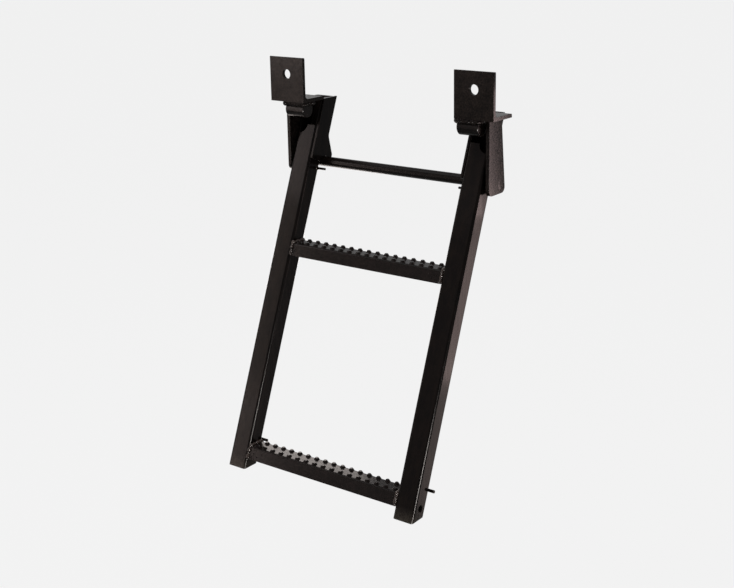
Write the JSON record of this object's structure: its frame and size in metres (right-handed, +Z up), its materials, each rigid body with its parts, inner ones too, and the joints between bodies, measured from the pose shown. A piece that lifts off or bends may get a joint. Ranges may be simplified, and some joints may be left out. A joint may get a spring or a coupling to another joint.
{
  "type": "tailgate step",
  "caption": "Folding, sliding ladder step of black steel that hangs from mounting angles under a truck bed, with buttoned treads between leaning box rails.",
  "frame": {"origin": "midway between the two bolt holes, on the plane of the mounting angles' back faces, which lie against the vehicle", "axes": "+X to the right seen from behind the vehicle, +Y forward into the vehicle, +Z up; the ladder is let down at rest"},
  "size_m": [0.4416, 0.2727, 0.6755],
  "materials": {
    "bracket_coat": "gloss black powder coat",
    "bar_coat": "gloss black powder coat",
    "ladder_coat": "gloss black powder coat",
    "tread_coat": "gloss black powder coat"
  },
  "bodies": {
    "brackets": {"left_mount_angle": "bracket_coat", "right_mount_angle": "bracket_coat", "left_guide_bar": "bracket_coat", "right_guide_bar": "bracket_coat", "left_hanger_leg": "bracket_coat", "right_hanger_leg": "bracket_coat"},
    "pivot": {"crossbar": "bar_coat"},
    "ladder": {"left_rail": "ladder_coat", "right_rail": "ladder_coat", "left_hook_plate": "ladder_coat", "right_hook_plate": "ladder_coat", "upper_rung": "tread_coat", "lower_rung": "tread_coat", "left_keeper_pin": "ladder_coat", "right_keeper_pin": "ladder_coat", "left_stop_pin": "ladder_coat", "right_stop_pin": "ladder_coat"}
  },
  "joints": [
    {"name": "ladder_swing", "type": "hinge", "parent": "brackets", "child": "pivot", "pos_m": [0, 0.04859, -0.155], "axis": [-1, 0, 0], "range_deg": [0, 68.5]},
    {"name": "ladder_slide", "type": "slide", "parent": "pivot", "child": "ladder", "axis": [0, 0.3665, 0.9304], "range_m": [0, 0.452]}
  ]
}
